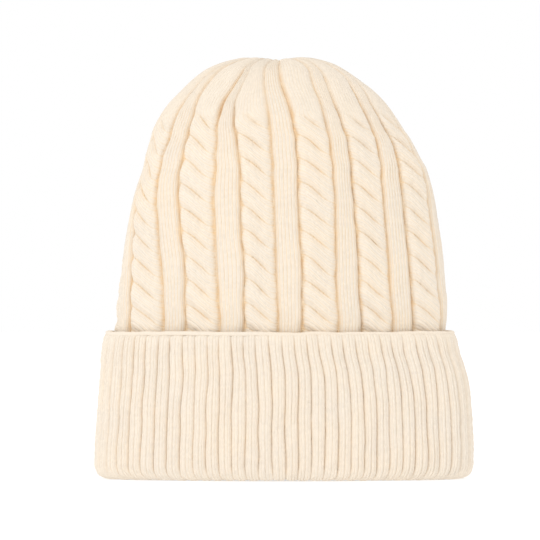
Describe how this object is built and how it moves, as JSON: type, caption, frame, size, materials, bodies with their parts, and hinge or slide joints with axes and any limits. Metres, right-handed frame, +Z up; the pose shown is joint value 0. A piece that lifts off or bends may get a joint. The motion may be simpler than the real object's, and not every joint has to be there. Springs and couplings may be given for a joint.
{
  "type": "knit beanie",
  "caption": "Knitted hat with a cable-pattern body gathered at the top, and a deep ribbed cuff turned up around the opening.",
  "frame": {"origin": "centre of the fold at the foot of the cuff, on the plane the hat rests on", "axes": "+Z up to the gathered top, +X across the width, -Y the front, +Y the back where the seam runs"},
  "size_m": [0.223, 0.084, 0.2475],
  "materials": {
    "cable_knit": "soft cream wool-blend yarn, cable stitch",
    "rib_knit": "soft cream wool-blend yarn, rib stitch",
    "welt_knit": "soft cream wool-blend yarn, smooth tubular edge",
    "yarn": "plied cream yarn",
    "label_tape": "blank woven tape",
    "sewing_thread": "fine sewing thread"
  },
  "bodies": {
    "hat": {"knit_body": "cable_knit", "rib_band": "rib_knit", "gather_yarn": "yarn", "gather_knot": "yarn", "yarn_tails": "yarn", "body_seam": "rib_knit", "label_stitches": "sewing_thread"},
    "cuff": {"turnup_cuff": "rib_knit", "cuff_welt": "welt_knit", "cuff_seam": "yarn"},
    "label": {"care_label": "label_tape"}
  },
  "joints": [
    {"name": "cuff_turn_down", "type": "slide", "parent": "hat", "child": "cuff", "axis": [0, 0, -1], "range_m": [0, 0.078]},
    {"name": "label_flap", "type": "hinge", "parent": "hat", "child": "label", "pos_m": [0.0026, 0.02075, 0.039], "axis": [0, 0, -1], "range_deg": [0, 110]}
  ]
}
